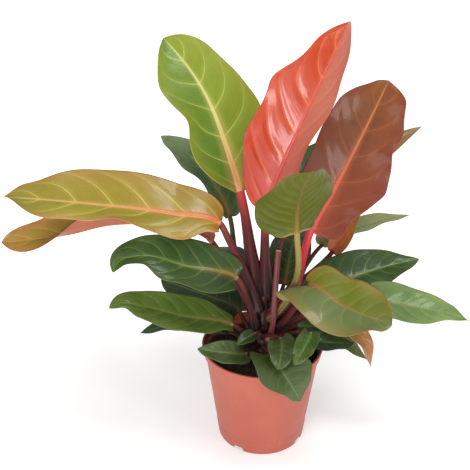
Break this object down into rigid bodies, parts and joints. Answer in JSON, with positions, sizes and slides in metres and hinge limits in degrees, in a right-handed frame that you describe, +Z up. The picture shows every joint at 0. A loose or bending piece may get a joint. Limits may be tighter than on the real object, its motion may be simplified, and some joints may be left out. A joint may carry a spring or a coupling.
{
  "type": "potted philodendron",
  "caption": "Potted philodendron with long-stalked glossy leaves fanning from one crown in a tapered round nursery pot.",
  "frame": {"origin": "centre of the pot's foot, on the surface that the pot stands on", "axes": "+Z up along the pot's axis, -Y towards the plant's front, +X to its right"},
  "size_m": [0.6184, 0.3566, 0.5892],
  "materials": {
    "pot_plastic": "satin moulded terracotta-coloured plastic",
    "peat": "matt crumbly peat and bark",
    "stem_bark": "matt ringed stem skin",
    "cut_stalk_skin": "satin fibrous skin with a dry cut end",
    "leaf_lime": "glossy fresh lime leaf with yellow veins",
    "leaf_orange": "glossy orange-red young leaf",
    "leaf_bronze": "glossy bronze-brown leaf",
    "leaf_tan": "olive-tan leaf",
    "leaf_dusk": "grey-green leaf",
    "leaf_olive": "satin olive leaf",
    "leaf_gold": "satin yellow-orange leaf",
    "leaf_coral": "satin coral-pink leaf",
    "leaf_green": "satin mid-green leaf",
    "leaf_deep": "satin deep green leaf",
    "leaf_moss": "satin olive-green leaf with tan margins",
    "leaf_rust": "satin tan-orange leaf",
    "leaf_fresh": "satin bright green leaf",
    "leaf_heart": "satin dull green leaf"
  },
  "bodies": {
    "root": {"pot": "pot_plastic", "soil": "peat", "stem": "stem_bark", "cut_stalk": "cut_stalk_skin", "leaf_lime": "leaf_lime", "leaf_orange": "leaf_orange", "leaf_bronze": "leaf_bronze", "leaf_tan": "leaf_tan", "leaf_dusk": "leaf_dusk", "leaf_olive": "leaf_olive", "leaf_grey": "leaf_dusk", "leaf_gold": "leaf_gold", "leaf_coral": "leaf_coral", "leaf_green_left": "leaf_green", "leaf_blue_left": "leaf_deep", "leaf_low_left": "leaf_green", "leaf_hid_left": "leaf_deep", "leaf_green_right": "leaf_green", "leaf_far_right": "leaf_green", "leaf_front_right": "leaf_moss", "leaf_rust": "leaf_rust", "leaf_low_right": "leaf_deep", "leaf_bright": "leaf_fresh", "leaf_small_front": "leaf_fresh", "leaf_heart": "leaf_heart", "leaf_small_dark": "leaf_deep", "leaf_rim_left": "leaf_heart", "leaf_tiny": "leaf_moss", "leaf_inner_right": "leaf_deep", "leaf_rear_mid": "leaf_green", "leaf_rear_right": "leaf_green", "leaf_rear_left": "leaf_deep", "leaf_rear_low": "leaf_heart"}
  },
  "joints": []
}
